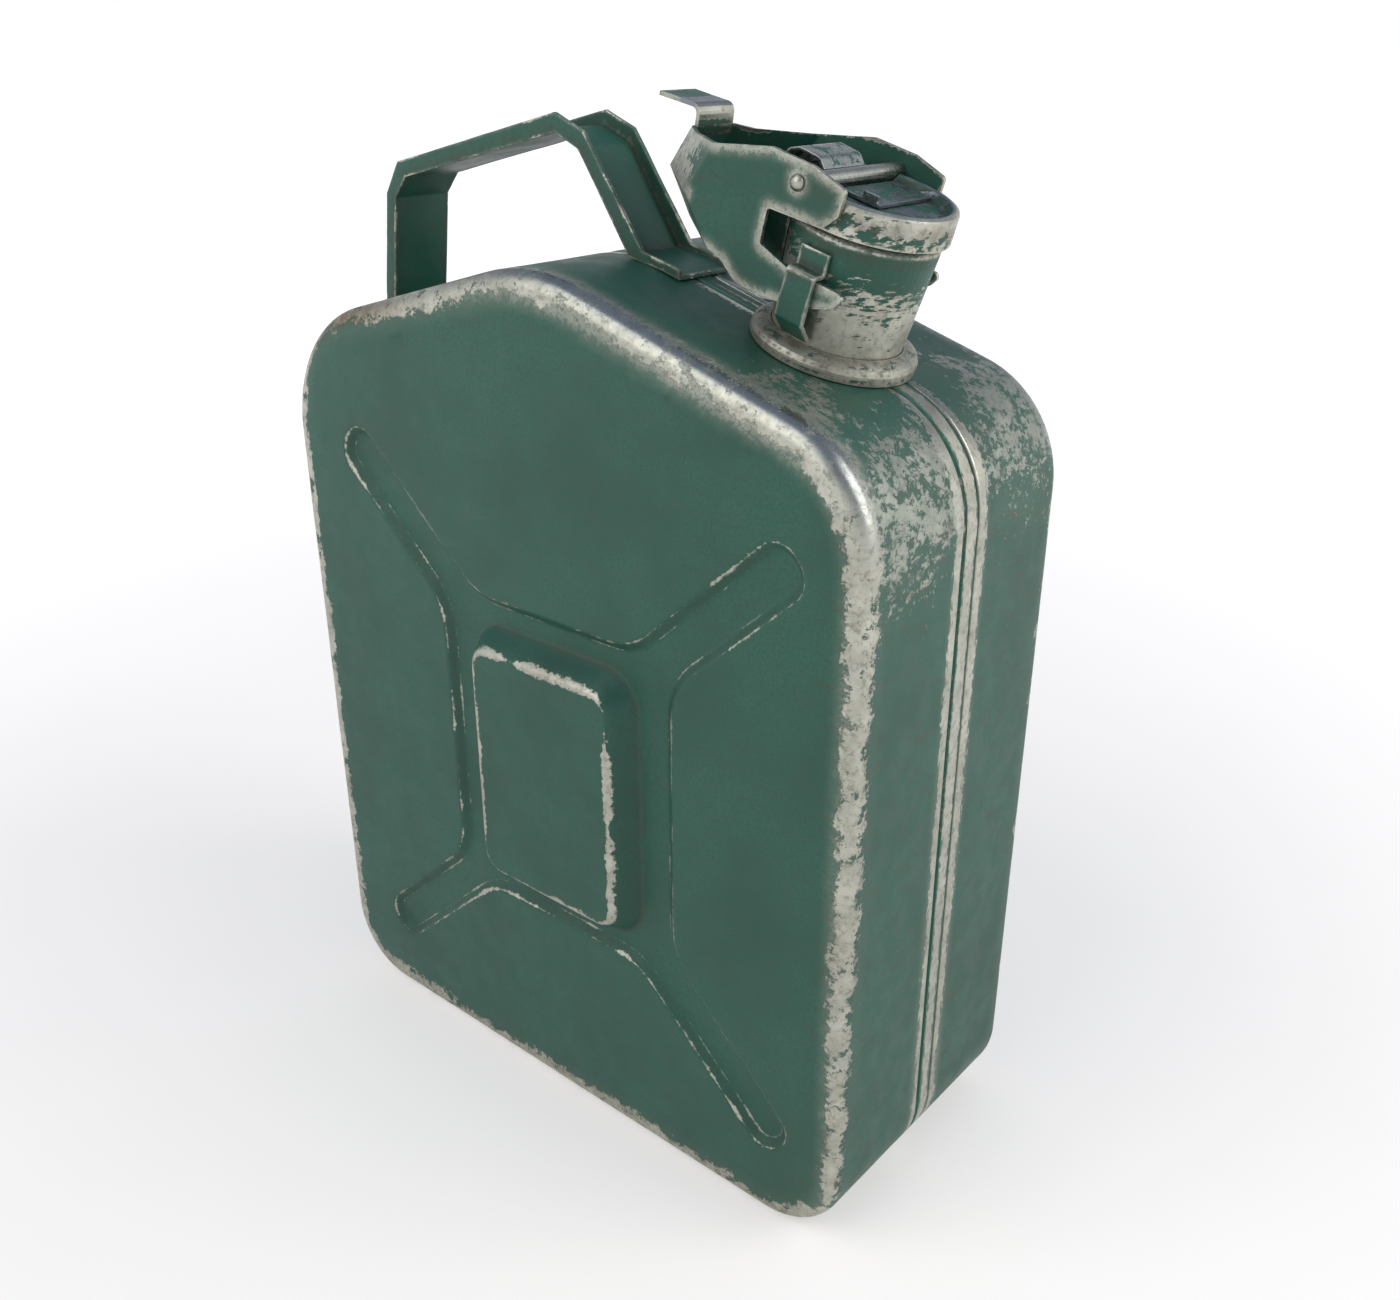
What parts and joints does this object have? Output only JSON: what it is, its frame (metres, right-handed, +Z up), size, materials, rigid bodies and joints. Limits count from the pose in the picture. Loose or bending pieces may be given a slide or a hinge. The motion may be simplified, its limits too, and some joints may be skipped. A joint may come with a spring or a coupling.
{
  "type": "fuel can",
  "caption": "Painted pressed-steel fuel can with a channel carry handle and a hinged spout cap held shut by a cam lever.",
  "frame": {"origin": "middle of the flat base", "axes": "+Z up, +X towards the spout, the front face looks along -Y"},
  "size_m": [0.28, 0.1336, 0.3933],
  "materials": {
    "green_paint": "worn satin paint",
    "worn_steel": "scuffed bare steel",
    "black_rubber": "matte"
  },
  "bodies": {
    "can": {"front_shell": "green_paint", "rear_shell": "green_paint", "seam_band": "green_paint", "neck": "green_paint", "neck_collar": "worn_steel", "breather_tube": "worn_steel", "handle": "green_paint", "keeper_strap_front": "green_paint", "keeper_strap_rear": "green_paint", "hinge_bracket": "green_paint", "hinge_pin": "worn_steel"},
    "cap_group": {"cap": "green_paint", "cap_gasket": "black_rubber", "cap_bracket": "worn_steel", "hinge_arm": "worn_steel", "pivot_barrel": "worn_steel"},
    "lever_group": {"lever": "green_paint", "pivot_rivet": "worn_steel"}
  },
  "joints": [
    {"name": "cap_hinge", "type": "hinge", "parent": "can", "child": "cap_group", "pos_m": [0.06592, 0, 0.36707], "axis": [0, -1, 0], "range_deg": [0, 66.6]},
    {"name": "lever_pivot", "type": "hinge", "parent": "cap_group", "child": "lever_group", "pos_m": [0.08785, 0, 0.36997], "axis": [0, 1, 0], "range_deg": [0, 180]}
  ],
  "couplings": [
    {"joint": "cap_hinge", "follows": "lever_pivot", "ratio": 0.37}
  ]
}
